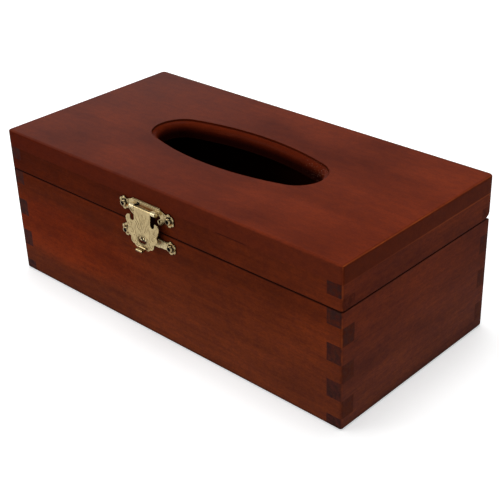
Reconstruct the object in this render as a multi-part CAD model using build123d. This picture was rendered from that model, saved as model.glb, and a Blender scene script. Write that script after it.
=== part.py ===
from build123d import *
import os
from math import acos, atan2, cos, pi, radians, sin, sqrt

# Wooden tissue box with finger-jointed corners, a hinged lid with an oval opening,
# a stamped brass clasp on the front and two small butt hinges sunk in the rear seam.
# Millimetres. X runs along the length, Y from front to back, Z up from the underside.
# The origin is the middle of the underside.

# Box
box_length = 270.0
box_width = 135.0
box_height = 100.0
board = 10.0
lid_height = 26.5
seam_gap = 0.3

# Rounded edges
corner_round = 1.8
rear_corner_round = 3.2
foot_round = 1.7
top_round = 1.5
seam_ease = 0.4
lid_rear_round = 8.5
base_rear_round = 5.0

# Finger joints
bottom_finger = 7.5
finger_height = 11.25
least_finger = 2.0
lid_finger_share = 0.51

# Floor panel, glued into a rebate round the underside
floor_thickness = 4.0
floor_seat = 5.0
floor_clearance = 0.25

# Lid panel and its oval opening
panel_thickness = 11.0
oval_half_length = 66.0
oval_half_width = 25.0
oval_end_radius = 18.0
moulding_step = 1.2
moulding_round = 3.5
moulding_flat = 0.2

# Rear butt hinges
hinge_spread = 80.0
hinge_length = 24.0
hinge_inset = 3.0
leaf_thickness = 0.8
leaf_margin = 0.8
hinge_knuckle = 1.6
hinge_pin = 0.8
leaf_screw_spread = 7.5
leaf_screw_inset = 4.2
leaf_screw_head = 1.5
leaf_screw_shank = 0.8
leaf_screw_length = 6.5

# Clasp: u runs along the box, v up from the seam, h out from the front face
clasp_offset = -6.5
plate_thickness = 0.8
clasp_axis_rise = 12.2
clasp_axis_reach = 2.85
clasp_knuckle = 1.25
clasp_pin = 0.7
hasp_knuckle_half = 6.8
plate_knuckle_length = 3.5
lobe_core = 3.45
petal_radius = 1.5
petal_count = 6
lid_screw_spread = 18.6
lid_screw_rise = 10.4
catch_screw_spread = 18.5
catch_screw_drop = 7.0
clasp_screw_head = 2.1
clasp_screw_dome = 1.5
clasp_screw_shank = 1.1
clasp_screw_bite = 7.5

# Lid plate, its right half: an arm to the screw lobe and a scrolled tail under it
rim_overhang = 0.9
rim_top = 15.5
rim_depth = 1.1
rim_height = 1.2
plate_arm_radius = 2.2
plate_arm_end = 1.6
tail_root = (13.4, 10.8)
tail_bend = (12.3, 6.6)
tail_tip = (10.4, 5.6)
tail_root_radius = 1.7
tail_bend_radius = 0.9
tail_tip_radius = 0.6

# Catch plate and its nose
catch_half = 10.0
catch_height = 6.0
catch_corner = 2.0
catch_arm_radius = 2.8
catch_arm_end = 2.0
nose_drop = 6.4
nose_length = 5.8
nose_height = 3.0
nose_round = 0.8

# Hasp, its right half: horn and scallops as (u, v) centres with their radii
hasp_thickness = 0.7
hasp_rest_angle = 4.0
horn_root = (9.8, 0.4)
horn_root_radius = 2.4
horn_tip = (10.9, 3.9)
horn_tip_radius = 2.9
notch_radius = 1.7
notch_bottom = 3.6
upper_scallop = (8.8, -3.0)
upper_scallop_radius = 3.6
lower_scallop = (6.7, -7.6)
lower_scallop_radius = 2.9
foot_scallop = (3.8, -8.6)
foot_scallop_radius = 3.3

# Thumb lip: a tongue of the sheet between the foot scallops, bent out and rolled at its end
lip_length = 5.0
lip_drop = 11.75
lip_bend = 1.4
lip_reach = 3.1
lip_roll = 0.9
lip_roll_core = 0.3
lip_roll_slit = 0.3

# Clearances
pin_clearance = 0.05
knuckle_gap = 0.2
knuckle_relief = 0.4
swing_clearance = 0.25
screw_clearance = 0.05
plate_hole_clearance = 0.2
mortise_clearance = 0.1
nose_clearance = 0.3
slot_end_clearance = 0.5
slot_play = 0.5
lip_side_gap = 0.3

# Heights and places that follow from the sizes above
seam_height = box_height - lid_height
base_top = seam_height - seam_gap / 2
lid_bottom = seam_height + seam_gap / 2
panel_bottom = box_height - panel_thickness
hinge_y = box_width / 2 - hinge_inset
leaf_y = box_width / 2 - board + leaf_margin
hasp_front = clasp_axis_reach + clasp_knuckle
hasp_back = hasp_front - hasp_thickness
slot_length = nose_length + 2 * slot_end_clearance
slot_height = nose_height + 2 * slot_play
lip_root = lip_bend - lip_drop
bar_arm = clasp_axis_rise + nose_drop + slot_height / 2
nose_reach = hasp_back + bar_arm * sin(radians(hasp_rest_angle)) - nose_clearance
moulding_width = moulding_round + moulding_flat
clasp_plane = Plane(
    origin=(clasp_offset, -box_width / 2, seam_height), x_dir=(1, 0, 0), z_dir=(0, -1, 0)
)


# Shared shapes

def block(x0, x1, y0, y1, z0, z1):
    """A box between two corners."""
    middle = Pos((x0 + x1) / 2, (y0 + y1) / 2, (z0 + z1) / 2)
    return middle * Box(x1 - x0, y1 - y0, z1 - z0)


def rod(x0, x1, y, z, radius):
    """A cylinder along X from x0 to x1."""
    return Pos((x0 + x1) / 2, y, z) * Rot(0, 90, 0) * Cylinder(radius, x1 - x0)


def rounded_block(z0, z1, low_round, high_round):
    """The box's outer form between two heights, with its outside edges rounded."""
    half_length = box_length / 2
    half_width = box_width / 2
    form = block(-half_length, half_length, -half_width, half_width, z0, z1)
    form = fillet(form.edges().filter_by(Axis.Z).sort_by(Axis.Y)[:2], corner_round)
    form = fillet(form.edges().filter_by(Axis.Z).sort_by(Axis.Y)[-2:], rear_corner_round)
    form = fillet(form.faces().sort_by(Axis.Z)[0].edges(), low_round)
    return fillet(form.faces().sort_by(Axis.Z)[-1].edges(), high_round)


def rear_corner(edge_z, direction, radius):
    """What a round of this radius takes off the rear edge at edge_z; direction points out of the wood."""
    centre_y = box_width / 2 - radius
    centre_z = edge_z - direction * radius
    over = 1.0
    low = min(centre_z, edge_z + direction * over)
    high = max(centre_z, edge_z + direction * over)
    reach = box_length / 2 + over
    corner = block(-reach, reach, centre_y, box_width / 2 + over, low, high)
    return corner - rod(-reach - over, reach + over, centre_y, centre_z, radius)


def taper(start, end, start_radius, end_radius):
    """A flat arm that tapers from one circle to another."""
    dx = end[0] - start[0]
    dy = end[1] - start[1]
    heading = atan2(dy, dx)
    spread = acos((start_radius - end_radius) / sqrt(dx * dx + dy * dy))
    corners = []
    for centre, radius, turn in (
        (start, start_radius, spread),
        (end, end_radius, spread),
        (end, end_radius, -spread),
        (start, start_radius, -spread),
    ):
        angle = heading + turn
        corners.append((centre[0] + radius * cos(angle), centre[1] + radius * sin(angle)))
    arm = make_face(Polyline(*corners, close=True))
    return arm + Pos(*start) * Circle(start_radius) + Pos(*end) * Circle(end_radius)


def oval(half_length, half_width, end_radius):
    """An oval of four tangent arcs."""
    end_centre = half_length - end_radius
    side_radius = (end_centre**2 + half_width**2 - end_radius**2) / (2 * (half_width - end_radius))
    side_centre = half_width - side_radius
    turn = side_radius / (side_radius - end_radius)
    join_x = turn * end_centre
    join_y = side_centre - turn * side_centre
    arcs = [
        ThreePointArc((join_x, join_y), (half_length, 0), (join_x, -join_y)),
        ThreePointArc((join_x, -join_y), (0, -half_width), (-join_x, -join_y)),
        ThreePointArc((-join_x, -join_y), (-half_length, 0), (-join_x, join_y)),
        ThreePointArc((-join_x, join_y), (0, half_width), (join_x, join_y)),
    ]
    return make_face(arcs)


# Wooden boards

base_form = rounded_block(0, base_top, foot_round, seam_ease)
base_form -= rear_corner(base_top, 1, base_rear_round)
lid_form = rounded_block(lid_bottom, box_height, seam_ease, top_round)
lid_form -= rear_corner(lid_bottom, -1, lid_rear_round)


def base_finger_edges():
    """Heights where the base's corner fingers change from one board to the other."""
    edges = [0.0, bottom_finger]
    while edges[-1] + finger_height < base_top - least_finger:
        edges.append(edges[-1] + finger_height)
    return edges + [base_top]


def fingers(edges, first):
    """Pairs of heights for every second finger, counted from the given one."""
    return list(zip(edges[first::2], edges[first + 1 :: 2]))


def long_board(side, z0, z1, own_fingers):
    """A front board (side -1) or back board (side 1), with its fingers at both ends."""
    y0, y1 = sorted((side * box_width / 2, side * (box_width / 2 - board)))
    half = box_length / 2 - board
    wood = block(-half, half, y0, y1, z0, z1)
    for low, high in own_fingers:
        wood += block(-half - board, half + board, y0, y1, low, high)
    return wood


def end_board(side, z0, z1, own_fingers):
    """A left board (side -1) or right board (side 1), with its fingers at both ends."""
    x0, x1 = sorted((side * box_length / 2, side * (box_length / 2 - board)))
    half = box_width / 2 - board
    wood = block(x0, x1, -half, half, z0, z1)
    for low, high in own_fingers:
        wood += block(x0, x1, -half - board, half + board, low, high)
    return wood


def floor_rebate(clearance):
    """The floor panel's space, grown sideways by a clearance."""
    half_x = box_length / 2 - board + floor_seat - floor_clearance + clearance
    half_y = box_width / 2 - board + floor_seat - floor_clearance + clearance
    return block(-half_x, half_x, -half_y, half_y, 0, floor_thickness)


def screw_holes(places):
    """Pilot holes for the clasp's screws, in the clasp's own plane."""
    holes = Part()
    for u, v in places:
        depth = clasp_screw_bite + screw_clearance
        holes += Pos(u, v, -depth / 2) * Cylinder(clasp_screw_shank + screw_clearance, depth)
    return clasp_plane * holes


def hinge_recess(side, z0, z1):
    """What both hinges take out of a rear board: leaf seats, knuckle relief and pilot holes."""
    cut = Part()
    direction = 1 if side == "lid" else -1
    seam_face = lid_bottom if side == "lid" else base_top
    for centre_x in (-hinge_spread, hinge_spread):
        half = hinge_length / 2 + mortise_clearance
        cut += block(centre_x - half, centre_x + half, leaf_y - mortise_clearance, hinge_y, z0, z1)
        reach = hinge_length / 2 + knuckle_relief
        relief = hinge_knuckle + knuckle_relief
        cut += rod(centre_x - reach, centre_x + reach, hinge_y, seam_height, relief)
        for x, y in leaf_screw_places(centre_x):
            depth = leaf_screw_length + screw_clearance
            place = Pos(x, y, seam_face + direction * depth / 2)
            cut += place * Cylinder(leaf_screw_shank + screw_clearance, depth)
    return cut


def leaf_screw_places(centre_x):
    """Where one hinge's leaf is screwed down."""
    y = hinge_y - leaf_screw_inset
    return [(centre_x - leaf_screw_spread, y), (centre_x + leaf_screw_spread, y)]


def make_base_boards():
    edges = base_finger_edges()
    end_fingers = fingers(edges, 0)
    long_fingers = fingers(edges, 1)
    rebate = floor_rebate(floor_clearance)
    catch_places = [(-catch_screw_spread, -catch_screw_drop), (catch_screw_spread, -catch_screw_drop)]
    front = (long_board(-1, 0, base_top, long_fingers) & base_form) - rebate
    front -= screw_holes(catch_places)
    back = (long_board(1, 0, base_top, long_fingers) & base_form) - rebate
    back -= hinge_recess("base", base_top - leaf_thickness, base_top)
    left = (end_board(-1, 0, base_top, end_fingers) & base_form) - rebate
    right = (end_board(1, 0, base_top, end_fingers) & base_form) - rebate
    return {
        "base_front_board": front,
        "base_back_board": back,
        "base_left_board": left,
        "base_right_board": right,
        "base_floor_panel": floor_rebate(0),
    }


def make_lid_rails():
    split = panel_bottom - lid_finger_share * (panel_bottom - lid_bottom)
    long_fingers = [(lid_bottom, split)]
    end_fingers = [(split, panel_bottom)]
    lid_places = [(-lid_screw_spread, lid_screw_rise), (lid_screw_spread, lid_screw_rise)]
    front = (long_board(-1, lid_bottom, panel_bottom, long_fingers) & lid_form) - screw_holes(lid_places)
    back = long_board(1, lid_bottom, panel_bottom, long_fingers) & lid_form
    back -= hinge_recess("lid", lid_bottom, lid_bottom + leaf_thickness)
    return {
        "lid_front_rail": front,
        "lid_back_rail": back,
        "lid_left_rail": end_board(-1, lid_bottom, panel_bottom, end_fingers) & lid_form,
        "lid_right_rail": end_board(1, lid_bottom, panel_bottom, end_fingers) & lid_form,
    }


def make_lid_panel():
    """The thick top panel: a stepped and rounded moulding runs round its oval opening."""
    half_length = box_length / 2
    half_width = box_width / 2
    panel = block(-half_length, half_length, -half_width, half_width, panel_bottom, box_height) & lid_form
    outer = oval(oval_half_length, oval_half_width, oval_end_radius)
    inner = oval(
        oval_half_length - moulding_width,
        oval_half_width - moulding_width,
        oval_end_radius - moulding_width,
    )
    step_z = box_height - moulding_step
    panel -= Pos(0, 0, step_z) * extrude(outer, 2 * moulding_step)
    panel -= Pos(0, 0, panel_bottom - 1) * extrude(inner, panel_thickness + 1)
    rim = [
        edge
        for edge in panel.edges()
        if abs(edge.center().Z - step_z) < 0.01 and inside_oval(edge.center(), moulding_flat)
    ]
    return fillet(rim, moulding_round)


def inside_oval(point, margin):
    """Whether a point lies inside the moulding's outer edge by more than a margin."""
    face = oval(oval_half_length - margin, oval_half_width - margin, oval_end_radius - margin)
    return face.is_inside(Vector(point.X, point.Y, 0))


# Rear hinges

def knuckle_spans(centre_x):
    """The three knuckles of one hinge, from left to right; the middle one is the lid's."""
    third = hinge_length / 3
    start = centre_x - hinge_length / 2
    return [(start + i * third, start + (i + 1) * third) for i in range(3)]


def countersunk_hole(x, y, seam_face, direction):
    """A leaf screw's hole, opening at the seam and narrowing into the wood."""
    sink = leaf_screw_head - leaf_screw_shank
    hole = leaf_screw_shank + screw_clearance
    over = 0.2
    cone = Cone(leaf_screw_head + over, hole, sink - screw_clearance + over)
    if direction < 0:
        cone = Rot(180, 0, 0) * cone
    cone_middle = seam_face + direction * (sink - screw_clearance - over) / 2
    shaft = Pos(x, y, seam_face) * Cylinder(hole, 4 * leaf_thickness)
    return Pos(x, y, cone_middle) * cone + shaft


def hinge_leaf(centre_x, side):
    """One leaf: a flat plate on the wood, rolled round the pin at its own knuckles."""
    spans = knuckle_spans(centre_x)
    own = [spans[1]] if side == "lid" else [spans[0], spans[2]]
    other = [span for span in spans if span not in own]
    direction = 1 if side == "lid" else -1
    seam_face = lid_bottom if side == "lid" else base_top
    z0, z1 = sorted((seam_face, seam_face + direction * leaf_thickness))
    half = hinge_length / 2
    leaf = block(centre_x - half, centre_x + half, leaf_y, hinge_y - hinge_knuckle / 2, z0, z1)
    for low, high in other:
        relief = hinge_knuckle + swing_clearance
        leaf -= rod(low - knuckle_gap / 2, high + knuckle_gap / 2, hinge_y, seam_height, relief)
    for low, high in own:
        start = low + (knuckle_gap / 2 if low > centre_x - half else 0)
        stop = high - (knuckle_gap / 2 if high < centre_x + half else 0)
        leaf += rod(start, stop, hinge_y, seam_height, hinge_knuckle)
    leaf -= rod(centre_x - half, centre_x + half, hinge_y, seam_height, hinge_pin + pin_clearance)
    for x, y in leaf_screw_places(centre_x):
        leaf -= countersunk_hole(x, y, seam_face, direction)
    return leaf


def leaf_screw(x, y, side):
    """A countersunk wood screw, its head flush with the leaf, with a cross recess."""
    direction = 1 if side == "lid" else -1
    seam_face = lid_bottom if side == "lid" else base_top
    sink = leaf_screw_head - leaf_screw_shank
    cone = Cone(leaf_screw_head, leaf_screw_shank, sink)
    shank = Pos(0, 0, leaf_screw_length / 2) * Cylinder(leaf_screw_shank, leaf_screw_length)
    screw = Pos(0, 0, sink / 2) * cone + shank
    screw -= cross_recess(leaf_screw_head * 1.2, leaf_screw_head * 0.25, leaf_screw_head * 0.25)
    turn = Rot(0, 0, 0) if direction > 0 else Rot(180, 0, 0)
    return Pos(x, y, seam_face) * turn * screw


def cross_recess(span, width, depth):
    """Two crossed slots sunk from the plane h = 0 into a head that lies on its positive side."""
    bar = block(-span / 2, span / 2, -width / 2, width / 2, -depth, depth)
    return bar + Rot(0, 0, 90) * bar


def make_hinges():
    nodes = {}
    screws = {"base": [], "lid": []}
    for name, centre_x in (("left", -hinge_spread), ("right", hinge_spread)):
        for side in ("base", "lid"):
            nodes[f"{name}_hinge_{side}_leaf"] = hinge_leaf(centre_x, side)
            for x, y in leaf_screw_places(centre_x):
                screws[side].append(leaf_screw(x, y, side))
        half = hinge_length / 2
        nodes[f"{name}_hinge_pin"] = rod(centre_x - half, centre_x + half, hinge_y, seam_height, hinge_pin)
    nodes["hinge_base_screws"] = Compound(screws["base"])
    nodes["hinge_lid_screws"] = Compound(screws["lid"])
    return nodes


# Clasp, each piece drawn in the clasp's own plane

def rosette(u, v):
    """A petalled lobe round a screw."""
    lobe = Circle(lobe_core)
    ring = lobe_core - petal_radius / 2
    for i in range(petal_count):
        angle = 2 * pi * (i + 0.5) / petal_count
        lobe += Pos(ring * cos(angle), ring * sin(angle)) * Circle(petal_radius)
    return Pos(u, v) * lobe


def plate_hole(u, v):
    hole = clasp_screw_shank + plate_hole_clearance
    return Pos(u, v, 0) * Cylinder(hole, 4 * plate_thickness)


def on(side, point):
    """A point of the right half, kept there (side 1) or mirrored to the left (side -1)."""
    return (side * point[0], point[1])


def clasp_rod(u0, u1, radius):
    """A cylinder about the clasp's hinge axis."""
    return rod(u0, u1, clasp_axis_rise, clasp_axis_reach, radius)


def make_lid_plate():
    """The upper plate: two screw lobes, scrolled tails, a raised rim and two knuckles."""
    knuckle_start = hasp_knuckle_half + knuckle_gap
    knuckle_stop = knuckle_start + plate_knuckle_length
    rim_half = knuckle_stop + rim_overhang
    flat_bottom = clasp_axis_rise - clasp_knuckle
    arm_root = (rim_half - rim_overhang, rim_top - plate_arm_radius)
    screw = (lid_screw_spread, lid_screw_rise)
    outline = Pos(0, (flat_bottom + rim_top) / 2) * Rectangle(2 * rim_half, rim_top - flat_bottom)
    for side in (-1, 1):
        outline += taper(on(side, arm_root), on(side, screw), plate_arm_radius, plate_arm_end)
        outline += taper(on(side, tail_root), on(side, tail_bend), tail_root_radius, tail_bend_radius)
        outline += taper(on(side, tail_bend), on(side, tail_tip), tail_bend_radius, tail_tip_radius)
        outline += rosette(*on(side, screw))
    plate = extrude(outline, plate_thickness)
    plate += block(-rim_half, rim_half, rim_top - rim_depth, rim_top, 0, rim_height)
    for side in (-1, 1):
        u0, u1 = sorted((side * knuckle_start, side * knuckle_stop))
        plate += clasp_rod(u0, u1, clasp_knuckle)
        web_top = clasp_axis_rise + clasp_knuckle
        plate += block(u0, u1, clasp_axis_rise, web_top, 0, clasp_axis_reach)
        plate -= plate_hole(side * lid_screw_spread, lid_screw_rise)
    plate -= clasp_rod(-knuckle_stop, knuckle_stop, clasp_pin + pin_clearance)
    return plate


def make_catch_plate():
    """The lower plate: two screw lobes and the nose that the hasp's slot closes over."""
    middle = (0, -catch_screw_drop)
    arm_root = (catch_half - catch_arm_radius, -catch_screw_drop)
    screw = (catch_screw_spread, -catch_screw_drop)
    outline = Pos(*middle) * RectangleRounded(2 * catch_half, catch_height, catch_corner)
    for side in (-1, 1):
        outline += taper(on(side, arm_root), on(side, screw), catch_arm_radius, catch_arm_end)
        outline += rosette(*on(side, screw))
    plate = extrude(outline, plate_thickness)
    nose = Pos(0, -nose_drop) * extrude(SlotOverall(nose_length, nose_height), nose_reach)
    plate += fillet(nose.faces().sort_by(Axis.Z)[-1].edges(), nose_round)
    for side in (-1, 1):
        plate -= plate_hole(side * catch_screw_spread, -catch_screw_drop)
    return plate


def flat_rectangle(half_width, low, high):
    """A rectangle centred across the clasp, between two heights."""
    return Pos(0, (low + high) / 2) * Rectangle(2 * half_width, high - low)


def hasp_outline():
    """The hasp's flat outline: a neck between two horns, and a body edged with scallops."""
    notch_u = hasp_knuckle_half + notch_radius
    notch_v = notch_bottom + notch_radius
    horn_top = horn_tip[1] + horn_tip_radius
    outline = flat_rectangle(hasp_knuckle_half, lip_root, clasp_axis_rise)
    outline += flat_rectangle(horn_tip[0], horn_root[1], notch_v)
    outline += flat_rectangle(horn_root[0], upper_scallop[1], horn_root[1])
    for side in (-1, 1):
        outline += taper(on(side, horn_root), on(side, horn_tip), horn_root_radius, horn_tip_radius)
        outline += Pos(*on(side, upper_scallop)) * Circle(upper_scallop_radius)
        outline += Pos(*on(side, lower_scallop)) * Circle(lower_scallop_radius)
        outline += Pos(*on(side, foot_scallop)) * Circle(foot_scallop_radius)
        outline -= Pos(side * notch_u, notch_v) * Circle(notch_radius)
        channel = Rectangle(2 * notch_radius, horn_top - notch_v)
        outline -= Pos(side * notch_u, (horn_top + notch_v) / 2) * channel
    outline -= Pos(0, -nose_drop) * SlotOverall(slot_length, slot_height)
    foot = foot_scallop[1] - foot_scallop_radius
    return outline - flat_rectangle(lip_length / 2 + lip_side_gap, foot, lip_root)


def thumb_lip():
    """The tongue bent out of the sheet; its end is rolled round a core and open along the front."""
    half = lip_length / 2
    bend_h = hasp_front + lip_bend
    roll_v = -lip_drop - hasp_thickness / 2
    roll_h = hasp_front + lip_reach - lip_roll
    bend = rod(-half, half, lip_root, bend_h, lip_bend + hasp_thickness)
    bend -= rod(-half, half, lip_root, bend_h, lip_bend)
    bend &= block(-half, half, -lip_drop - hasp_thickness, lip_root, hasp_back, bend_h)
    strip = block(-half, half, -lip_drop - hasp_thickness, -lip_drop, bend_h, roll_h)
    roll = rod(-half, half, roll_v, roll_h, lip_roll)
    lip = bend + strip + roll - rod(-half, half, roll_v, roll_h, lip_roll_core)
    slit_v = lip_roll_slit / 2
    return lip - block(-half, half, roll_v - slit_v, roll_v + slit_v, roll_h, roll_h + lip_roll)


def make_hasp():
    """The swinging plate: a barrel round the pin, the flat scalloped sheet and the thumb lip."""
    hasp = Pos(0, 0, hasp_back) * extrude(hasp_outline(), hasp_thickness)
    hasp += clasp_rod(-hasp_knuckle_half, hasp_knuckle_half, clasp_knuckle)
    hasp -= clasp_rod(-hasp_knuckle_half, hasp_knuckle_half, clasp_pin + pin_clearance)
    hasp += thumb_lip()
    pivot = Pos(0, clasp_axis_rise, clasp_axis_reach)
    return pivot * Rot(-hasp_rest_angle, 0, 0) * pivot.inverse() * hasp


def clasp_screw(u, v):
    """A round-headed wood screw with a cross recess."""
    head = Pos(0, 0, clasp_screw_dome / 2) * Cylinder(clasp_screw_head, clasp_screw_dome)
    head = fillet(head.edges().sort_by(Axis.Z)[-1], 0.7 * clasp_screw_dome)
    recess = cross_recess(1.25 * clasp_screw_head, 0.4 * clasp_screw_head, 0.55 * clasp_screw_dome)
    head -= Pos(0, 0, clasp_screw_dome) * recess
    depth = clasp_screw_bite + plate_thickness
    shank = Pos(0, 0, -depth / 2) * Cylinder(clasp_screw_shank, depth)
    return Pos(u, v, plate_thickness) * (head + shank)


def make_clasp():
    pin_half = hasp_knuckle_half + knuckle_gap + plate_knuckle_length
    lid_screws = [clasp_screw(side * lid_screw_spread, lid_screw_rise) for side in (-1, 1)]
    catch_screws = [clasp_screw(side * catch_screw_spread, -catch_screw_drop) for side in (-1, 1)]
    pieces = {
        "clasp_lid_plate": make_lid_plate(),
        "clasp_hinge_pin": clasp_rod(-pin_half, pin_half, clasp_pin),
        "clasp_hasp": make_hasp(),
        "clasp_catch_plate": make_catch_plate(),
        "clasp_lid_screws": Compound(lid_screws),
        "clasp_base_screws": Compound(catch_screws),
    }
    return {name: clasp_plane * piece for name, piece in pieces.items()}


# Write one file per piece

pieces = {}
pieces.update(make_base_boards())
pieces["lid_top_panel"] = make_lid_panel()
pieces.update(make_lid_rails())
pieces.update(make_hinges())
pieces.update(make_clasp())

os.makedirs("parts", exist_ok=True)
for name, piece in pieces.items():
    piece.label = name
    export_step(piece, f"parts/{name}.step")
    print(f"{name}: {len(piece.solids())} solids, {piece.volume:.1f} cubic mm")
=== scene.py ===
from math import cos, pi, radians, sin

import bmesh
import bpy
from mathutils import Matrix, Vector


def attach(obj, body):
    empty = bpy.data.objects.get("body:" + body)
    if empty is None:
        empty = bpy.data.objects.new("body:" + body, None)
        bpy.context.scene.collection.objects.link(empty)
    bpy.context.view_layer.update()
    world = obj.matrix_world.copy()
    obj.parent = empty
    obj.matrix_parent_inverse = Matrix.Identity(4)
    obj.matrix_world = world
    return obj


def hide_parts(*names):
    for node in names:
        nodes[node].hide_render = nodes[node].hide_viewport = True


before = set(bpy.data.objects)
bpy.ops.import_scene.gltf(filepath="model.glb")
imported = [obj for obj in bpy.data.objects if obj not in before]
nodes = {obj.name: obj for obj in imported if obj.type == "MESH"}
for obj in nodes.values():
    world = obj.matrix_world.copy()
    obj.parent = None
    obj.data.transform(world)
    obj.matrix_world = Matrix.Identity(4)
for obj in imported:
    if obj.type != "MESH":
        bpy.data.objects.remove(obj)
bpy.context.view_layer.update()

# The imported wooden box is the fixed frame. Its pieces are in metres, with the origin in
# the middle of the underside, +X along the length and -Y the clasp side.
mm = 0.001

# Sizes of the wooden box that the finishes and the clasp follow, in millimetres
half_length = 135.0
half_width = 67.5
height = 100.0
seam = 73.5
board = 10.0
panel_bottom = 89.0
opening_half_length = 66.0
opening_half_width = 25.0

# The clasp has its own millimetres: u runs right from its middle, v up from the seam
# and h out of the front board.
clasp_offset = -6.5
lid_screws = [(-18.6, 10.4), (18.6, 10.4)]
catch_screws = [(-18.5, -7.0), (18.5, -7.0)]


# Building a finish, node by node

class Finish:
    """One material. Each call adds a node and gives back the socket to use next. x, y and z
    are the place on the piece in millimetres, and normal is the way its face looks."""

    def __init__(self, name, **plain):
        self.material = bpy.data.materials.new(name)
        self.material.use_nodes = True
        self.tree = self.material.node_tree
        self.shader = self.tree.nodes["Principled BSDF"]
        self.use(**plain)
        coordinates = self.tree.nodes.new("ShaderNodeTexCoord")
        self.place = coordinates.outputs["Object"]
        millimetres = self.add("ShaderNodeVectorMath", {0: self.place, "Scale": 1 / mm}, operation="SCALE")
        self.x, self.y, self.z = self.axes(millimetres)
        self.normal = self.axes(coordinates.outputs["Normal"])

    def add(self, kind, inputs, output=0, **settings):
        node = self.tree.nodes.new(kind)
        for key, value in settings.items():
            setattr(node, key, value)
        for key, value in inputs.items():
            self.join(value, node.inputs[key])
        return node.outputs[output]

    def join(self, value, socket):
        if isinstance(value, bpy.types.NodeSocket):
            self.tree.links.new(value, socket)
        else:
            socket.default_value = value

    def use(self, **sockets):
        """Joins each value to the shader's socket of that name."""
        for socket, value in sockets.items():
            self.join(value, self.shader.inputs[socket.replace("_", " ")])
        return self.material

    def axes(self, vector):
        node = self.tree.nodes.new("ShaderNodeSeparateXYZ")
        self.tree.links.new(vector, node.inputs[0])
        return [node.outputs[axis] for axis in range(3)]

    def math(self, operation, first, second=0.0, third=0.0, clamp=False):
        return self.add(
            "ShaderNodeMath", {0: first, 1: second, 2: third}, operation=operation, use_clamp=clamp
        )

    def product(self, first, *others):
        for value in others:
            first = self.math("MULTIPLY", first, value)
        return first

    def larger(self, first, second):
        return self.math("MAXIMUM", first, second)

    def size_of(self, value):
        """A value without its sign."""
        return self.math("ABSOLUTE", value)

    def away(self, value, middle):
        """How far a value is from the middle, to either side."""
        return self.size_of(self.math("SUBTRACT", value, middle))

    def step(self, value, low, high, out_low=0.0, out_high=1.0):
        """Turns a value that crosses from low to high into one from out_low to out_high."""
        return self.add(
            "ShaderNodeMapRange",
            {"Value": value, "From Min": low, "From Max": high, "To Min": out_low, "To Max": out_high},
            interpolation_type="SMOOTHSTEP",
        )

    def band(self, value, start, full, fading, end):
        """1 from full to fading, and 0 before the start and after the end."""
        return self.product(self.step(value, start, full), self.step(value, fading, end, 1, 0))

    def oval(self, across, up, middle, halves):
        """0 in the middle of an oval, 1 on its edge and more outside it."""
        square = 0.0
        for value, centre, half in zip((across, up), middle, halves):
            offset = self.math("DIVIDE", self.math("SUBTRACT", value, centre), half)
            square = self.math("MULTIPLY_ADD", offset, offset, square)
        return square

    def stretched(self, scale, shift=(0, 0, 0)):
        """The place on the piece, stretched so that a pattern runs along the grain."""
        return self.add("ShaderNodeMapping", {"Vector": self.place, "Location": shift, "Scale": scale})

    def noise(self, where, scale=1.0, detail=2.0, roughness=0.5):
        return self.add(
            "ShaderNodeTexNoise",
            {"Vector": where, "Scale": scale, "Detail": detail, "Roughness": roughness},
        )

    def openness(self, reach):
        """1 on an open face, and less where something stands within reach millimetres."""
        return self.add("ShaderNodeAmbientOcclusion", {"Distance": reach * mm}, output="AO", samples=8)

    def mix(self, share, first, second, blend="MIX"):
        node = self.tree.nodes.new("ShaderNodeMix")
        node.data_type = "RGBA"
        node.blend_type = blend
        for socket, value in (("Factor_Float", share), ("A_Color", first), ("B_Color", second)):
            target = next(s for s in node.inputs if s.identifier == socket)
            self.join(value, target)
        return next(s for s in node.outputs if s.identifier == "Result_Color")

    def bump(self, relief, distance, strength):
        return self.add("ShaderNodeBump", {"Height": relief, "Distance": distance * mm, "Strength": strength})


def rgb(red, green, blue):
    return (red, green, blue, 1.0)


# Wood

# Painted shade: the moulding's foot, deep in the opening, and its brow above it
moulding_foot_shade = rgb(0.018, 0.0022, 0.0010)
moulding_brow = rgb(0.080, 0.0098, 0.0026)
# Painted highlight: the light specks on the moulding
speck_glint = rgb(0.30, 0.17, 0.12)
# Orange that is partly real wear and partly a painted highlight on the eased edges
rubbed_orange_and_highlight = rgb(0.27, 0.056, 0.014)
joint_grime = rgb(0.010, 0.0030, 0.0026)
# Painted shade in corners and where the clasp stands close
corner_shade = rgb(0.010, 0.0022, 0.0010)
warm_tint = rgb(1.42, 1.02, 0.72)

# How a stain changes in the dark and light parts of the figure, and inside the box, where it is darkened as
# painted shade
dark_grain = (0.55, 0.62, 0.8)
light_grain = (1.35, 1.4, 1.3)
inner_shade = (0.25, 0.22, 0.22)

# How strongly each part of the figure shows on the boards, and on the top panel
lively = dict(
    streaks=0.5, blotches=0.5, shade=(0.26, 0.74), fibres=0.22, pores=0.45, rings=1.0,
    mottling=0.65, gloss=0.005,
)
calm = dict(
    streaks=0.22, blotches=0.78, shade=(0.22, 0.78), fibres=0.10, pores=0.12, rings=0.15,
    mottling=0.5, gloss=0.008,
)


def along(grain, lengthwise, crosswise):
    """Pattern scales, the first along the grain and the second across it."""
    return tuple(lengthwise if axis == grain else crosswise for axis in range(3))


def inside_box(finish):
    """1 on the faces that look into the box, 0 outside it."""
    def within(value, limit, before, after):
        return finish.step(value, limit + before, limit + after, 1, 0)

    between_ends = within(finish.size_of(finish.x), half_length - board, -0.1, 0.3)
    between_sides = within(finish.size_of(finish.y), half_width - board, -0.1, 0.3)
    return finish.product(between_ends, between_sides, within(finish.z, panel_bottom, 0.2, 0.6))


def drift(finish, start, rates):
    """How far a stain has gone from its near to its far colour, from 0 to 1: start at the
    origin, changing by so much for each metre along X, Y and Z."""
    share = start
    for value, rate in zip((finish.x, finish.y, finish.z), rates):
        if rate:
            share = finish.math("MULTIPLY_ADD", value, rate * mm, share)
    return finish.math("ADD", share, 0.0, clamp=True)


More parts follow.
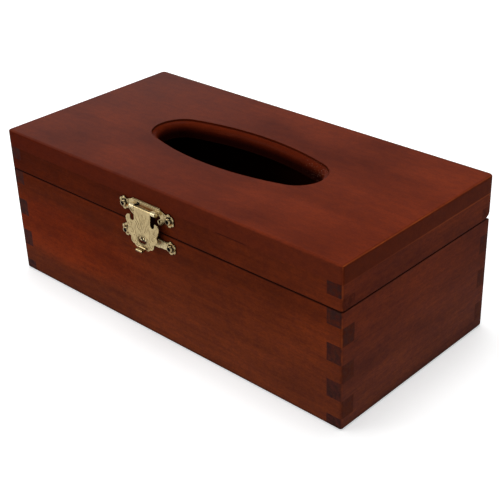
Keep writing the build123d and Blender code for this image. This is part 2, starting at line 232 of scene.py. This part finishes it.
def stained(finish, share, near, far, depth=(1, 1, 1)):
    """A stain that goes over from its near to its far colour, with each channel times depth."""
    ends = [rgb(*[level * channel for level, channel in zip(depth, colour)]) for colour in (near, far)]
    return finish.mix(share, *ends)


def panel_parts(finish, colour, edge_stain):
    """The panel's front and back edges, and the moulding round the opening, painted darker towards its foot
    as shade deep in the opening, with light specks painted on it as small highlights.
    """
    upright = finish.step(finish.size_of(finish.normal[2]), 0.25, 0.8, 1, 0)
    facing = finish.step(finish.size_of(finish.normal[1]), 0.5, 0.9)
    edge = stained(finish, drift(finish, 0.5, (3.7, 0, 0)), *edge_stain)
    colour = finish.mix(finish.product(upright, facing), colour, edge)
    moulding = finish.product(
        finish.step(finish.size_of(finish.x), opening_half_length + 1.0, opening_half_length + 1.6, 1, 0),
        finish.step(finish.size_of(finish.y), opening_half_width + 0.6, opening_half_width + 1.2, 1, 0),
        finish.step(finish.z, height - 1.1, height - 0.6, 1, 0),
    )
    # Painted shade: the moulding goes darker towards its foot, deep in the opening.
    rim = finish.mix(finish.step(finish.z, height - 8.0, height - 3.5), moulding_foot_shade, moulding_brow)
    colour = finish.mix(moulding, colour, rim)
    # Painted highlights: small light specks on the moulding at its right back end.
    glint_noise = finish.noise(finish.place, scale=1500.0)
    at_right_back = finish.product(finish.step(finish.x, 30, 52), finish.step(finish.y, 2, 10))
    specks = finish.product(finish.step(glint_noise, 0.62, 0.70), at_right_back, moulding, 0.6)
    return finish.mix(specks, colour, speck_glint)


def rubbed_and_highlit_arris(finish, colour):
    """The stain is rubbed thin, to orange, along the upright corners and the ends of the top, where the
    orange is partly wear and partly a painted highlight on the eased edges, and it is thin too along the
    panel's glue line on the ends."""
    sideways = finish.size_of(finish.normal[0])
    patches = finish.noise(finish.place, scale=55.0, detail=4.0, roughness=0.7)
    # Partly wear and partly a painted highlight on the eased ends of the top
    top = finish.product(
        finish.step(finish.normal[2], 0.45, 0.65),
        finish.step(patches, 0.35, 0.60, 0.45, 1.0),
        finish.step(finish.y, -40, 60, 1.0, 0.35),
    )
    front = finish.product(
        finish.step(finish.normal[1], -0.6, -0.35, 1, 0), finish.step(patches, 0.50, 0.66, 0.0, 0.5)
    )
    outer = finish.step(finish.size_of(finish.x), half_length - 6, half_length - 4)
    rubbed_and_highlit = finish.product(finish.step(sideways, 0.45, 0.65), outer, finish.larger(top, front))
    glue = finish.product(
        finish.band(finish.z, panel_bottom - 0.7, panel_bottom - 0.2, panel_bottom + 0.1, panel_bottom + 0.6),
        finish.step(sideways, 0.8, 0.95),
        finish.step(finish.y, -50, 40, 0.12, 0.55),
    )
    return finish.mix(finish.larger(rubbed_and_highlit, glue), colour, rubbed_orange_and_highlight)


def dark_joints(finish, colour):
    """Grime in the seam all round, and short open lengths of the panel's glue line."""
    upright = finish.step(finish.size_of(finish.normal[2]), 0.8, 0.95, 1, 0)
    grime = finish.step(finish.away(finish.z, seam), 0.35, 0.9, 0.75, 0)
    patches = finish.noise(finish.place, scale=26.0, detail=1.0)
    open_line = finish.product(
        finish.step(finish.away(finish.z, panel_bottom), 0.15, 0.5, 0.6, 0),
        finish.step(patches, 0.56, 0.64),
        finish.step(finish.size_of(finish.normal[1]), 0.8, 0.95),
        finish.step(finish.x, 20, 45),
    )
    return finish.mix(finish.product(finish.larger(grime, open_line), upright), colour, joint_grime)


def mottled(finish, colour, grain, strength):
    """Small cloudy patches, redder and duller, and a fine speckle over them."""
    clouds = finish.noise(finish.stretched(along(grain, 150, 280)), detail=3.0, roughness=0.6)
    speckle = finish.noise(finish.stretched(along(grain, 700, 1300)), detail=1.0)
    for pattern, low, high, dull, red in (
        (clouds, 0.34, 0.66, (0.84, 0.84, 1.04), (1.15, 1.10, 0.94)),
        (speckle, 0.3, 0.7, (0.86, 0.86, 0.92), (1.14, 1.12, 1.06)),
    ):
        tint = finish.mix(finish.step(pattern, low, high), rgb(*dull), rgb(*red))
        colour = finish.mix(strength, colour, tint, blend="MULTIPLY")
    return colour


def warm_patch(finish, colour, middle, halves):
    """A broad oval patch, in X and Z, where the stain came out redder."""
    from_middle = finish.oval(finish.x, finish.z, middle, halves)
    return finish.mix(finish.step(from_middle, 0.0, 1.0, 1, 0), colour, warm_tint, blend="MULTIPLY")


def wood(name, seed, grain, start, rates, near, far, cut_near, cut_far, figure=lively, edge=None, warm=None):
    """Red-brown stained wood under a satin lacquer. grain is 0 for X and 1 for Y. The stain
    goes over from near to far as drift says, and where the grain is cut across, from
    cut_near to cut_far. edge is for the top panel only, the near and far stain of its
    edges. warm is the middle and the half sizes of a redder patch."""
    finish = Finish(name)
    shift = (0.31 * seed, 0.17 * seed, 0.23 * seed)

    def pattern(lengthwise, crosswise, **details):
        return finish.noise(finish.stretched(along(grain, lengthwise, crosswise), shift), **details)

    streaks = pattern(5, 70, detail=4.0, roughness=0.6)
    fibres = pattern(22, 650, detail=3.0, roughness=0.6)
    blotches = pattern(12, 22, detail=3.0, roughness=0.55)
    pores = pattern(110, 2100, detail=1.0)
    rings = pattern(60, 420)
    share = drift(finish, start, rates)
    dark = stained(finish, share, near, far, dark_grain)
    light = stained(finish, share, near, far, light_grain)
    thick = stained(finish, share, cut_near, cut_far)

    shade = finish.product(streaks, figure["streaks"])
    shade = finish.math("MULTIPLY_ADD", blotches, figure["blotches"], shade)
    colour = finish.mix(finish.step(shade, *figure["shade"]), dark, light)
    fibre_lines = finish.product(finish.step(fibres, 0.42, 0.62), figure["fibres"])
    colour = finish.mix(fibre_lines, colour, dark)
    pore_lines = finish.product(finish.step(pores, 0.64, 0.76), figure["pores"])
    colour = finish.mix(pore_lines, colour, thick)
    end_on = finish.step(finish.size_of(finish.normal[grain]), 0.55, 0.95)
    cut_end = finish.mix(finish.step(rings, 0.3, 0.7, 0, figure["rings"]), thick, dark)
    colour = finish.mix(end_on, colour, cut_end)
    if edge:
        colour = panel_parts(finish, colour, edge)
    if warm:
        colour = warm_patch(finish, colour, *warm)
    colour = mottled(finish, colour, grain, figure["mottling"])
    colour = dark_joints(finish, rubbed_and_highlit_arris(finish, colour))
    # Painted shade: darker in corners and where something stands within 7 mm, such as the clasp.
    colour = finish.mix(finish.step(finish.openness(7), 0.25, 0.85), corner_shade, colour)
    # Painted shade: the faces inside the box are darkened.
    colour = finish.mix(inside_box(finish), colour, stained(finish, share, near, far, inner_shade))

    relief = finish.math("MULTIPLY_ADD", fibres, 0.6, finish.product(pores, 0.4))
    return finish.use(
        Base_Color=colour,
        Roughness=finish.step(blotches, 0.2, 0.8, 0.30, 0.42),
        Specular_IOR_Level=figure["gloss"],
        Normal=finish.bump(relief, 0.03, 0.5),
    )


def dress(name, material):
    """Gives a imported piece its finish."""
    materials = nodes[name].data.materials
    materials.clear()
    materials.append(material)


# The boards in pairs that match: how each one is stained
end_grain = (0.037, 0.0145, 0.0120)
lid_end_grain = (0.092, 0.0180, 0.0085)
floor_stain = (0.130, 0.0260, 0.0100)
floor_end_grain = (0.050, 0.0145, 0.0105)
front_and_back = dict(
    grain=0, start=0.79, rates=(1.0, 0, -9.0), near=(0.098, 0.0124, 0.0020), far=(0.150, 0.0335, 0.0138),
    cut_near=(0.036, 0.0140, 0.0115), cut_far=(0.088, 0.0235, 0.0135), warm=((-90, 38), (95, 26)),
)
ends = dict(
    grain=1, start=0.0, rates=(0, 0, 16.0), near=(0.128, 0.0340, 0.0195), far=(0.126, 0.0240, 0.0105),
    cut_near=end_grain, cut_far=end_grain,
)
lid_front_and_back = dict(
    grain=0, start=0.5, rates=(3.7, 0, 0), near=(0.076, 0.0080, 0.0008), far=(0.112, 0.0190, 0.0064),
    cut_near=lid_end_grain, cut_far=lid_end_grain,
)
lid_ends = dict(
    grain=1, start=0.5, rates=(0, 7.4, 0), near=(0.110, 0.0195, 0.0085), far=(0.104, 0.0205, 0.0092),
    cut_near=end_grain, cut_far=end_grain,
)
floor_panel = dict(
    grain=0, start=0.5, rates=(0, 0, 0), near=floor_stain, far=floor_stain,
    cut_near=floor_end_grain, cut_far=floor_end_grain,
)
# On the top panel the near colour, to the back left, is greyer: partly its own tone and partly a painted
# sheen.
top_panel = dict(
    grain=0, start=0.5, rates=(3.0, -2.0, 0), near=(0.112, 0.0245, 0.0140), far=(0.136, 0.0200, 0.0072),
    cut_near=(0.088, 0.0165, 0.0062), cut_far=(0.085, 0.0130, 0.0034), figure=calm,
    edge=((0.074, 0.0066, 0.0003), (0.106, 0.0180, 0.0068)),
)
wooden = {
    "base_front_board": front_and_back,
    "base_back_board": front_and_back,
    "base_left_board": ends,
    "base_right_board": ends,
    "base_floor_panel": floor_panel,
    "lid_top_panel": top_panel,
    "lid_front_rail": lid_front_and_back,
    "lid_back_rail": lid_front_and_back,
    "lid_left_rail": lid_ends,
    "lid_right_rail": lid_ends,
}
for seed, (name, stain) in enumerate(wooden.items(), start=1):
    dress(name, wood(f"{name}_stain", seed, **stain))


# Metal

# Colours for the metal. Most of the clasp's colours are painted shade, reflections, highlights and glints, as
# said where each is used.
knuckle_gap_shade = rgb(0.010, 0.007, 0.004)
screw_middle_shade = rgb(0.012, 0.009, 0.006)
old_polish = rgb(0.12, 0.078, 0.030)
cup_shade_and_reflection = rgb(0.028, 0.020, 0.009)
cup_orange_reflection = rgb(0.30, 0.12, 0.022)
slot_edge_shade = rgb(0.085, 0.052, 0.017)
lip_bend_shade = rgb(0.22, 0.09, 0.018)
arm_painted_light = rgb(0.66, 0.52, 0.27)
arm_reflection_and_shade = rgb(0.28, 0.115, 0.022)
crown_painted_light = rgb(0.60, 0.46, 0.23)
groove_shade = rgb(0.13, 0.09, 0.036)
knuckle_highlight = rgb(0.66, 0.54, 0.31)
barrel_wood_reflection = rgb(0.44, 0.18, 0.036)
nose_slot_shade = rgb(0.045, 0.028, 0.010)
nose_glint = rgb(0.90, 0.76, 0.44)


class ClaspFinish(Finish):
    """A finish that knows the clasp's own u, v and h too. aside is how far u is from 0."""

    def __init__(self, name, **plain):
        super().__init__(name, **plain)
        self.u = self.math("SUBTRACT", self.x, clasp_offset)
        self.v = self.math("SUBTRACT", self.z, seam)
        self.h = self.math("MULTIPLY_ADD", self.y, -1.0, -half_width)
        self.aside = self.size_of(self.u)


def gutter(finish):
    """1 low on the upper plate and behind the barrel, painted orange-brown as a reflection of the wood in
    shade.
    """
    between = finish.step(finish.aside, 6.6, 6.9, 1, 0)
    low = finish.band(finish.v, 9.0, 9.5, 12.8, 13.9)
    return finish.product(between, low, finish.step(finish.h, 2.7, 3.1, 1, 0))


def lower_arms(finish):
    """1 on the lower plate's arms beside the hasp, which are kept out of the painted shade and painted paler
    as light.
    """
    beside = finish.band(finish.aside, 8.4, 9.0, 15.0, 15.8)
    low = finish.step(finish.v, -3.5, -3.3, 1, 0)
    return finish.product(beside, low, finish.step(finish.h, 1.5, 1.7, 1, 0))


def crown(finish):
    """1 on the upper plate round its barrel, which is kept out of the painted shade and partly painted paler
    as light.
    """
    return finish.product(finish.step(finish.aside, 11.3, 11.8, 1, 0), finish.step(finish.v, 11.5, 11.9))


def in_slot(finish):
    """1 on the nose that stands up through the hasp's slot."""
    across = finish.step(finish.aside, 3.0, 3.2, 1, 0)
    out = finish.band(finish.h, 1.1, 1.3, 5.0, 5.1)
    return finish.product(across, out, finish.band(finish.v, -8.3, -8.1, -4.7, -4.5))


def spot(finish, middle, halves, soft=0.12):
    """1 inside an oval on the clasp's front, with a soft edge."""
    return finish.step(finish.oval(finish.u, finish.v, middle, halves), 1.0 - soft, 1.0 + soft, 1, 0)


def round_screws(finish, half, right=0.0, up=0.0):
    """1 inside a round spot over each of the clasp's four screws, moved right and up."""
    share = 0.0
    for u, v in lid_screws + catch_screws:
        share = finish.larger(share, spot(finish, (u + right, v + up), (half, half)))
    return share


def clasp_details(finish, tone, rough, crowned, arms, clean):
    """Dark polish beside the relief. Painted shade and reflections in the screw cups, the gutter, round the
    slot, at the lip's bend, in the rim's grooves and at the left knuckle; paler painted light on the crown,
    knuckles and arms; and the nose painted dark with bright glints."""
    # clean keeps the crown and the arms out of the dark old polish.
    corners = finish.larger(finish.openness(0.5), clean)
    patches = finish.noise(finish.place, scale=420.0, detail=1.0)
    # Painted shade and reflections in the screw cups: dark, with orange patches.
    polish = finish.mix(finish.step(patches, 0.52, 0.62), cup_shade_and_reflection, cup_orange_reflection)
    # Painted shade: a dark oval on the hasp's front round its slot.
    ring = finish.product(spot(finish, (0.0, -6.3), (4.2, 2.8)), finish.step(finish.h, 4.9, 5.0))
    # Painted shade: orange-brown at the lip's bend.
    lip_top = finish.product(
        finish.band(finish.h, 6.2, 6.4, 7.5, 7.7), finish.step(finish.v, -10.7, -10.1, 1, 0)
    )
    # Painted light: the arms beside the hasp are paler, though the hasp shades them.
    beside_hasp = finish.product(arms, 0.8)
    # Painted light: the crown's plate is paler, though the barrel shades it.
    crown_face = finish.product(crowned, finish.step(finish.h, 1.3, 1.4, 1, 0))
    # Painted shade: dark stripes across the rim's top, for its grooves.
    # The added metre keeps the value above 0.
    rows = finish.math("PINGPONG", finish.math("ADD", finish.x, 1000.0), 0.9)
    grooves = finish.product(finish.step(rows, 0.4, 0.6), finish.step(finish.v, 14.4, 14.6))
    # Painted highlight: the knuckles are paler and creamier.
    knuckles = finish.product(
        crowned, finish.step(finish.aside, 6.85, 6.95), finish.step(finish.h, 1.7, 2.1)
    )
    # Painted reflection: orange-brown, for the wood seen in the shaded barrel top.
    wood_reflecting = gutter(finish)
    # Painted shade: black where the left knuckle meets the barrel.
    left_corner = spot(finish, (-6.3, 13.3), (1.3, 1.4), 0.3)
    # The nose is painted dark, as shade in the slot, and the tips of its beads bright, as painted glints.
    nose = finish.mix(finish.step(finish.h, 4.60, 4.65), nose_slot_shade, nose_glint)
    for share, colour in (
        (finish.step(corners, 0.50, 0.95, 1, 0), old_polish),
        (finish.product(round_screws(finish, 2.75, 0.7, 0.2), 0.85), polish),
        (finish.product(ring, 0.7), slot_edge_shade),
        (finish.product(lip_top, 0.8), lip_bend_shade),
        (beside_hasp, arm_painted_light),
        # Painted reflection and shade: an orange-brown spot on the right arm beside the hasp's edge.
        (finish.product(spot(finish, (9.6, -5.9), (1.5, 1.1), 0.5), arms, 0.85), arm_reflection_and_shade),
        (crown_face, crown_painted_light),
        (finish.product(grooves, crowned, 0.6), groove_shade),
        (knuckles, knuckle_highlight),
        (wood_reflecting, barrel_wood_reflection),
        (finish.product(left_corner, finish.step(finish.h, 3.3, 3.5, 1, 0)), knuckle_gap_shade),
        (in_slot(finish), nose),
    ):
        tone = finish.mix(share, tone, colour)
    # The painted light on the crown, the knuckles and the arms is less of a mirror, so that it stays pale.
    matt = finish.larger(finish.larger(crown_face, finish.product(knuckles, 0.7)), beside_hasp)
    finish.use(Metallic=finish.math("MULTIPLY_ADD", matt, -0.75, 1.0))
    return tone, finish.math("MULTIPLY_ADD", wood_reflecting, 0.3, rough)


def worn_metal(name, colour, shadow, roughness, clasp=False, black_middle=False):
    """Polished metal, duller in patches, and dark in its corners and close under other parts, partly old
    polish and partly painted shade.
    """
    finish = ClaspFinish(name, Metallic=1.0)
    cloud = finish.noise(finish.place, scale=380.0, detail=3.0)
    rubbed = finish.noise(finish.stretched((900, 900, 2600)))
    duller = [0.84 * channel for channel in colour]
    tone = finish.mix(finish.step(cloud, 0.3, 0.7), rgb(*colour), rgb(*duller))
    rough = finish.step(cloud, 0.2, 0.8, roughness - 0.05, roughness + 0.07)
    # Painted shade, towards the shadow colour, where something stands within 2.2 mm.
    bright = finish.step(finish.openness(2.2), 0.45, 0.9)
    # Painted shade and a painted dark reflection: the screw's middle is black over its recess and head.
    if black_middle:
        tone = finish.mix(round_screws(finish, 1.35), tone, screw_middle_shade)
    if clasp:
        crowned, arms = crown(finish), lower_arms(finish)
        # clean is the share kept out of the painted shade, on the crown and the arms.
        clean = finish.product(finish.larger(crowned, arms), 0.9)
        bright = finish.larger(bright, clean)
    tone = finish.mix(bright, rgb(*shadow), tone)
    if clasp:
        tone, rough = clasp_details(finish, tone, rough, crowned, arms, clean)
    return finish.use(Base_Color=tone, Roughness=rough, Normal=finish.bump(rubbed, 0.006, 0.4))


clasp_brass = worn_metal("clasp_brass", (0.45, 0.345, 0.175), (0.10, 0.048, 0.013), 0.25, clasp=True)
screw_brass = worn_metal("screw_brass", (0.36, 0.27, 0.14), (0.010, 0.007, 0.004), 0.16, black_middle=True)
hinge_brass = worn_metal("hinge_brass", (0.42, 0.31, 0.14), (0.12, 0.08, 0.03), 0.32)
pin_steel = worn_metal("pin_steel", (0.40, 0.35, 0.26), (0.10, 0.08, 0.05), 0.3)
dark_pin = worn_metal("dark_pin", (0.05, 0.035, 0.02), (0.01, 0.008, 0.005), 0.4)
for name in nodes:
    if name == "clasp_hinge_pin":
        dress(name, dark_pin)
    elif "pin" in name:
        dress(name, pin_steel)
    elif name not in wooden:
        dress(name, hinge_brass)


# Clasp. Its pieces are shaped in the clasp's own millimetres. The hasp is shaped closed
# and then swung out to its rest.

pivot = Vector((0, 12.2, 2.85))
hasp_rest_angle = radians(4)
clasp_place = Matrix((
    (mm, 0, 0, clasp_offset * mm),
    (0, 0, -mm, -half_width * mm),
    (0, mm, 0, seam * mm),
    (0, 0, 0, 1),
))
swing = Matrix.Translation(pivot) @ Matrix.Rotation(-hasp_rest_angle, 4, "X") @ Matrix.Translation(-pivot)
hasp_place = clasp_place @ swing

# How far out the front faces stand
plate_front = 0.8
hasp_front = 4.1
nose_front = 4.5


def copy_of(name, place):
    """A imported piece, brought into the clasp's millimetres, as clean flat faces."""
    shape = bmesh.new()
    shape.from_mesh(nodes[name].data)
    bmesh.ops.transform(shape, matrix=place.inverted(), verts=shape.verts)
    bmesh.ops.remove_doubles(shape, verts=shape.verts, dist=0.002)
    bmesh.ops.dissolve_limit(shape, angle_limit=radians(0.6), verts=shape.verts, edges=shape.edges)
    return shape


def ease(shape, width):
    """Rounds the sharp edges of a stamped sheet."""
    sharp = [e for e in shape.edges if e.is_manifold and e.calc_face_angle() > radians(32)]
    bmesh.ops.bevel(
        shape, geom=sharp, offset=width, segments=2, profile=0.5, material=-1,
        affect="EDGES", clamp_overlap=True,
    )


def put(shape, name, place, body, stands_for, material):
    """Makes the finished piece and hangs it on its body."""
    bmesh.ops.transform(shape, matrix=place, verts=shape.verts)
    for face in shape.faces:
        face.smooth = True
    mesh = bpy.data.meshes.new(name)
    shape.to_mesh(mesh)
    shape.free()
    mesh.set_sharp_from_angle(angle=radians(38))
    mesh.materials.append(material)
    piece = bpy.data.objects.new(name, mesh)
    bpy.context.scene.collection.objects.link(piece)
    flatten = piece.modifiers.new("flat faces", "WEIGHTED_NORMAL")
    flatten.keep_sharp = True
    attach(piece, body)
    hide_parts(*stands_for)


def bead(shape, centre, radii, rings=8, around=14):
    """A rounded bead with its own three radii."""
    place = Matrix.Translation(centre) @ Matrix.Diagonal((*radii, 1))
    bmesh.ops.create_uvsphere(shape, u_segments=around, v_segments=rings, radius=1.0, matrix=place)


def stroke(shape, points, h, thick, flat=0.55, closed=False):
    """A raised line of relief along a smooth curve, thickest in the middle and round at its
    ends, or an even ring of it."""
    curve = bpy.data.curves.new("stroke", "CURVE")
    curve.dimensions = "3D"
    curve.bevel_depth = 1.0
    curve.bevel_resolution = 2
    curve.use_fill_caps = True
    line = curve.splines.new("NURBS")
    line.points.add(len(points) - 1)
    for i, (u, v) in enumerate(points):
        line.points[i].co = (u, v, 0, 1)
        swell = 1.0 if closed else 0.4 + 0.6 * sin(pi * (i + 0.5) / len(points))
        line.points[i].radius = thick * swell
    line.order_u = 4
    line.use_cyclic_u = closed
    line.use_endpoint_u = not closed
    line.resolution_u = 6
    if not closed:
        end = line.points[0].radius
        for u, v in (points[0], points[-1]):
            bead(shape, (u, v, h), (end, end, end * flat), 6, 8)
    holder = bpy.data.objects.new("stroke", curve)
    made = bpy.data.meshes.new_from_object(holder)
    made.transform(Matrix.Translation((0, 0, h)) @ Matrix.Diagonal((1, 1, flat, 1)))
    shape.from_mesh(made)
    bpy.data.objects.remove(holder)
    bpy.data.curves.remove(curve)
    bpy.data.meshes.remove(made)


def both_sides(points):
    """A line on the right of the clasp and its mirror image on the left."""
    return points, [(-u, v) for u, v in points]


def petals(shape, screw):
    """Six swelling petals round a screw."""
    count = 6
    from_screw = 2.85
    for i in range(count):
        angle = 2 * pi * (i + 0.5) / count
        u = screw[0] + from_screw * cos(angle)
        v = screw[1] + from_screw * sin(angle)
        bead(shape, (u, v, plate_front - 0.08), (1.2, 1.2, 0.5))


def rolled_knuckle(shape, side):
    """The plate's tongue, rolled thick round the pin and over its end."""
    inner, outer = 6.98, 10.6
    thick = 1.55
    middle = Matrix.Translation((side * (inner + outer) / 2, pivot[1], pivot[2]))
    bmesh.ops.create_cone(
        shape, cap_ends=True, segments=24, radius1=thick, radius2=thick, depth=outer - inner,
        matrix=middle @ Matrix.Rotation(pi / 2, 4, "Y"),
    )


def lid_plate():
    """The upper plate, with ribs along its rim, petals round its screws and hooked tails."""
    shape = copy_of("clasp_lid_plate", clasp_place)
    for side in (-1, 1):
        rolled_knuckle(shape, side)
    ease(shape, 0.14)
    for screw in lid_screws:
        petals(shape, screw)
    ribs, ribbed_length = 13, 21.6
    rim_v, rim_front = 15.0, 1.2
    for i in range(ribs):
        u = ribbed_length * (i / (ribs - 1) - 0.5)
        bead(shape, (u, rim_v, rim_front), (0.42, 0.38, 0.22))
    tail = [(14.6, 13.4), (14.9, 10.6), (13.8, 7.6), (12.2, 6.1), (10.6, 5.7), (10.3, 6.5)]
    for path in both_sides(tail):
        stroke(shape, path, plate_front - 0.02, 0.55, 0.8)
    hook = [(13.6, 9.4), (11.6, 9.2), (10.0, 8.4), (9.5, 7.0), (10.2, 5.9), (11.4, 5.6)]
    for path in both_sides(hook):
        stroke(shape, path, plate_front - 0.2, 0.6, 0.9)
    put(shape, "clasp_lid_plate_brass", clasp_place, "lid", ["clasp_lid_plate"], clasp_brass)


# The scrolls on the hasp's right half, and the ring round its slot
relief = [
    [(12.2, 5.4), (12.7, 2.8), (11.8, 0.2), (9.8, -0.3), (8.7, 1.2), (9.5, 2.6), (10.6, 2.0), (10.2, 1.2)],
    [(12.0, -2.0), (10.4, -0.9), (8.2, -1.5), (7.5, -3.4), (8.7, -4.7), (10.1, -4.0), (9.6, -3.0)],
    [(5.3, 2.2), (6.9, -0.6), (5.6, -3.6), (5.2, -6.2), (6.2, -9.0), (8.0, -9.6), (9.2, -8.2), (8.2, -7.2)],
    [(0.4, -2.4), (2.4, -0.4), (2.6, 2.6), (4.2, 4.6), (5.6, 5.6), (5.9, 8.6)],
    [(0.4, -2.0), (3.4, -0.6), (4.2, 1.2), (5.0, 3.4), (6.0, 3.9)],
    [(0.2, 0.4), (1.5, 2.2), (1.3, 4.6), (2.6, 6.6), (3.2, 9.4)],
    [(0.0, 3.4), (1.2, 5.4), (1.0, 7.6), (0.2, 9.6)],
    [(3.3, -11.2), (5.0, -11.0), (5.6, -9.7), (4.6, -8.9), (3.8, -9.6), (4.4, -10.2)],
]
slot_ring = [
    (0, -3.6), (2.6, -3.7), (4.4, -4.8), (4.8, -6.4), (4.4, -8.0), (2.6, -9.1),
    (0, -9.2), (-2.6, -9.1), (-4.4, -8.0), (-4.8, -6.4), (-4.4, -4.8), (-2.6, -3.7),
]


def hasp():
    """The swinging plate, with its scrolls, the ring round its slot and the barrel's crest."""
    shape = copy_of("clasp_hasp", hasp_place)
    ease(shape, 0.12)
    on_hasp = hasp_front - 0.02
    for scroll in relief:
        for path in both_sides(scroll):
            stroke(shape, path, on_hasp, 0.40, 0.7)
    stroke(shape, slot_ring, on_hasp, 0.36, 0.7, closed=True)
    # The crest line runs along the barrel, up and out from the pin.
    barrel, lean = 1.17, radians(38)
    crest_v = pivot[1] + barrel * sin(lean)
    crest_h = pivot[2] + barrel * cos(lean)
    stroke(shape, [(u, crest_v) for u in (-6.5, -2.2, 2.2, 6.5)], crest_h, 0.3, 0.8)
    for u, v in ((3.9, 10.0), (5.9, 0.6), (11.2, 4.0), (6.9, -5.2)):
        for side in (-1, 1):
            bead(shape, (side * u, v, hasp_front), (0.38, 0.38, 0.2), 6, 10)
    put(shape, "clasp_hasp_brass", hasp_place, "hasp", ["clasp_hasp"], clasp_brass)


def catch_plate():
    """The lower plate, with petals round its screws and beads on its nose, whose tips the finish paints
    bright as glints.
    """
    shape = copy_of("clasp_catch_plate", clasp_place)
    ease(shape, 0.14)
    for screw in catch_screws:
        petals(shape, screw)
    for u, v in ((-1.7, -6.7), (0.4, -5.6), (1.9, -6.1)):
        bead(shape, (u, v, nose_front), (0.6, 0.6, 0.42), 6, 10)
    put(shape, "clasp_catch_brass", clasp_place, "base", ["clasp_catch_plate"], clasp_brass)


def clasp_screws(name, body):
    shape = copy_of(name, clasp_place)
    ease(shape, 0.09)
    put(shape, name + "_brass", clasp_place, body, [name], screw_brass)


lid_plate()
hasp()
catch_plate()
clasp_screws("clasp_lid_screws", "lid")
clasp_screws("clasp_base_screws", "base")


# Stage: a white floor, soft lamps and the photograph's camera

def white_floor():
    """A pale floor that glows to the camera, more so far from the box, and dimly in gloss."""
    mesh = bpy.data.meshes.new("floor")
    shape = bmesh.new()
    bmesh.ops.create_grid(shape, x_segments=1, y_segments=1, size=30.0)
    bmesh.ops.translate(shape, verts=shape.verts, vec=(0, 0, -0.1 * mm))
    shape.to_mesh(mesh)
    shape.free()
    floor = bpy.data.objects.new("floor", mesh)
    bpy.context.scene.collection.objects.link(floor)
    finish = Finish("floor_white", Base_Color=rgb(0.82, 0.82, 0.82), Roughness=1.0, Specular_IOR_Level=0.0)
    rays = finish.tree.nodes.new("ShaderNodeLightPath").outputs
    in_gloss = finish.product(finish.larger(rays["Is Glossy Ray"], rays["Is Transmission Ray"]), 0.34)
    from_box = finish.add("ShaderNodeVectorMath", {0: finish.place}, output="Value", operation="LENGTH")
    seen = finish.step(from_box, 0.5, 2.2, 0.50, 1.0)
    glow = finish.math("MULTIPLY_ADD", rays["Is Camera Ray"], seen, in_gloss)
    mesh.materials.append(finish.use(Emission_Color=rgb(1, 1, 1), Emission_Strength=glow))


def soft_lamp(name, place, aim, size, watts):
    """A flat lamp at a place, in metres, that looks at its aim."""
    lamp = bpy.data.lights.new(name, "AREA")
    lamp.shape = "RECTANGLE"
    lamp.size, lamp.size_y = size
    lamp.energy = watts
    holder = bpy.data.objects.new(name, lamp)
    bpy.context.scene.collection.objects.link(holder)
    direction = Vector(aim) - Vector(place)
    holder.rotation_euler = direction.to_track_quat("-Z", "Y").to_euler()
    holder.location = place


def pale_world():
    """White to the camera. For the light, white round the horizon and dim overhead, so that
    gloss stays deep."""
    world = bpy.data.worlds.new("studio")
    bpy.context.scene.world = world
    world.use_nodes = True
    tree = world.node_tree
    background = tree.nodes["Background"]
    direction = tree.nodes.new("ShaderNodeTexCoord")
    split = tree.nodes.new("ShaderNodeSeparateXYZ")
    level = tree.nodes.new("ShaderNodeMapRange")
    level.interpolation_type = "SMOOTHSTEP"
    for socket, value in (("From Min", 0.16), ("From Max", 0.42), ("To Min", 1.0), ("To Max", 0.22)):
        level.inputs[socket].default_value = value
    rays = tree.nodes.new("ShaderNodeLightPath")
    seen = tree.nodes.new("ShaderNodeMath")
    seen.operation = "MAXIMUM"
    for output, socket in (
        (direction.outputs["Generated"], split.inputs[0]),
        (split.outputs[2], level.inputs["Value"]),
        (level.outputs[0], seen.inputs[0]),
        (rays.outputs["Is Camera Ray"], seen.inputs[1]),
        (seen.outputs[0], background.inputs["Strength"]),
    ):
        tree.links.new(output, socket)
    background.inputs["Color"].default_value = rgb(1, 1, 1)


bpy.context.scene.view_settings.view_transform = "Standard"
white_floor()
pale_world()
soft_lamp("overhead", (-0.1, 0.1, 1.5), (0, 0, 0.05), (0.9, 0.9), 15.0)
soft_lamp("front", (-1.1, -1.25, 0.75), (0, 0, 0.05), (0.6, 0.6), 6.5)
soft_lamp("behind", (-1.25, 0.85, 0.45), (0, 0, 0.1), (0.7, 0.5), 1.2)

# The camera, as worked out from the photograph's straight edges
picture_pixels = 500
focal_pixels = 1101.39
camera_data = bpy.data.cameras.new("camera")
camera_data.sensor_width = 36
camera_data.lens = focal_pixels / picture_pixels * camera_data.sensor_width
camera = bpy.data.objects.new("camera", camera_data)
bpy.context.scene.collection.objects.link(camera)
camera_place = (0.421082, -0.427801, 0.366822)
picture_right = Vector((0.73128, 0.68134, -0.03155))
picture_down = Vector((0.31236, -0.37566, -0.87253))
looking = Vector((-0.60635, 0.62821, -0.48754))
turn = Matrix((picture_right, -picture_down, -looking)).transposed()
camera.matrix_world = Matrix.Translation(camera_place) @ turn.to_4x4()
bpy.context.scene.camera = camera
